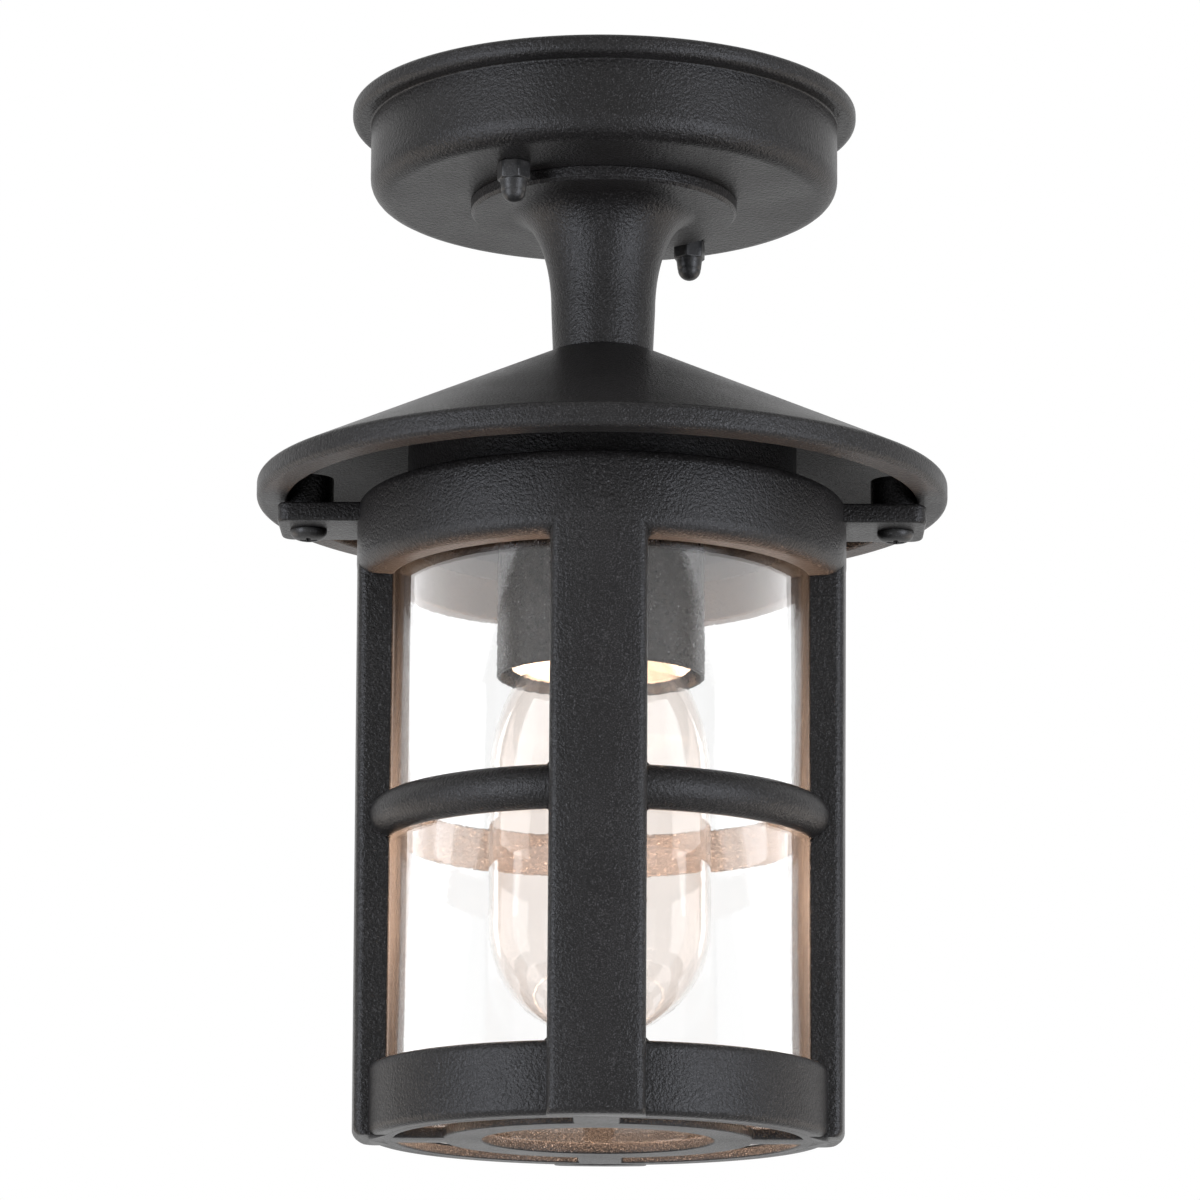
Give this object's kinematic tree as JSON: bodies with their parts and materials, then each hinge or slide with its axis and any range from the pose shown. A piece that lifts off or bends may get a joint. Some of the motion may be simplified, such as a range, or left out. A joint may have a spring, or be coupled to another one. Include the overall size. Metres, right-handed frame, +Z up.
{
  "type": "porch ceiling lantern",
  "caption": "Porch ceiling lantern: round ceiling plate, trumpet stem, conical roof and a post cage round a clear glass cylinder, with a screw-in lamp that is changed through the open bottom.",
  "frame": {"origin": "centre of the face that meets the ceiling, on the lantern's axis", "axes": "+Z up into the ceiling along the axis, -Y towards the viewer of the picture, and the cage's two screwed ears on the X axis"},
  "size_m": [0.1884, 0.1884, 0.2859],
  "materials": {
    "dark_powder_coat": "satin powder coat over cast aluminium",
    "black_steel": "satin black",
    "zinc_steel": "zinc plated",
    "black_sheet": "gloss black",
    "brass": "plain brass",
    "spring_steel": "bright",
    "porcelain": "glazed ceramic",
    "clear_glass": "clear",
    "lamp_glass": "clear, faintly warm",
    "mount_glass": "clear",
    "gasket_black": "closed-cell foam",
    "gasket_white": "white silicone",
    "white_plastic": "moulded",
    "nickel_cap": "nickel plated",
    "black_insulator": "dark vitrite",
    "tungsten": "glowing wire",
    "lead_wire": "drawn wire",
    "wire_brown": "insulated wire",
    "wire_blue": "insulated wire",
    "wire_green": "insulated wire",
    "green_screw": "green lacquer"
  },
  "bodies": {
    "root": {"ceiling_gasket": "gasket_black", "fixing_bar": "zinc_steel", "stud_bar": "zinc_steel", "bar_studs": "zinc_steel", "stud_lock_nuts": "zinc_steel", "ceiling_plate": "dark_powder_coat", "dome_nuts": "black_steel", "stem": "dark_powder_coat", "stem_seal": "gasket_black", "stem_tube": "brass", "tube_bush": "white_plastic", "tube_top_nut": "zinc_steel", "tube_top_washer": "zinc_steel", "roof": "dark_powder_coat", "tube_bottom_washer": "zinc_steel", "tube_bottom_nut": "zinc_steel", "lampholder_cup": "black_sheet", "lampholder_body": "porcelain", "lampholder_ring": "porcelain", "screw_shell": "brass", "shell_rivet": "brass", "contact_bridge": "brass", "holder_terminals": "brass", "holder_screws": "zinc_steel", "contact_spring": "spring_steel", "terminal_block": "white_plastic", "block_sleeves": "brass", "block_clamp_screws": "zinc_steel", "block_fixing_screw": "zinc_steel", "earth_screw": "green_screw", "earth_lug": "zinc_steel", "live_wire": "wire_brown", "neutral_wire": "wire_blue", "earth_wire": "wire_green", "cage": "dark_powder_coat", "cage_screws": "black_steel", "glass_cylinder": "clear_glass", "glass_top_gasket": "gasket_white", "glass_bottom_gasket": "gasket_white"},
    "contact": {"centre_contact": "brass"},
    "lamp": {"bulb_glass": "lamp_glass", "bulb_cap": "nickel_cap", "cap_insulator": "black_insulator", "cap_contact": "nickel_cap", "bulb_mount": "mount_glass", "lead_wires": "lead_wire", "filament_supports": "lead_wire", "filament": "tungsten"}
  },
  "joints": [
    {"name": "contact_travel", "type": "slide", "parent": "root", "child": "contact", "axis": [0, 0, -1], "range_m": [0, 0.00363], "deforming": ["contact_spring"]},
    {"name": "bulb_turn", "type": "hinge", "parent": "contact", "child": "lamp", "pos_m": [0, 0, -0.15], "axis": [0, 0, -1], "range_deg": [0, 360]}
  ],
  "couplings": [
    {"joint": "contact_travel", "follows": "bulb_turn", "m_per_rad": 0.00057757}
  ]
}
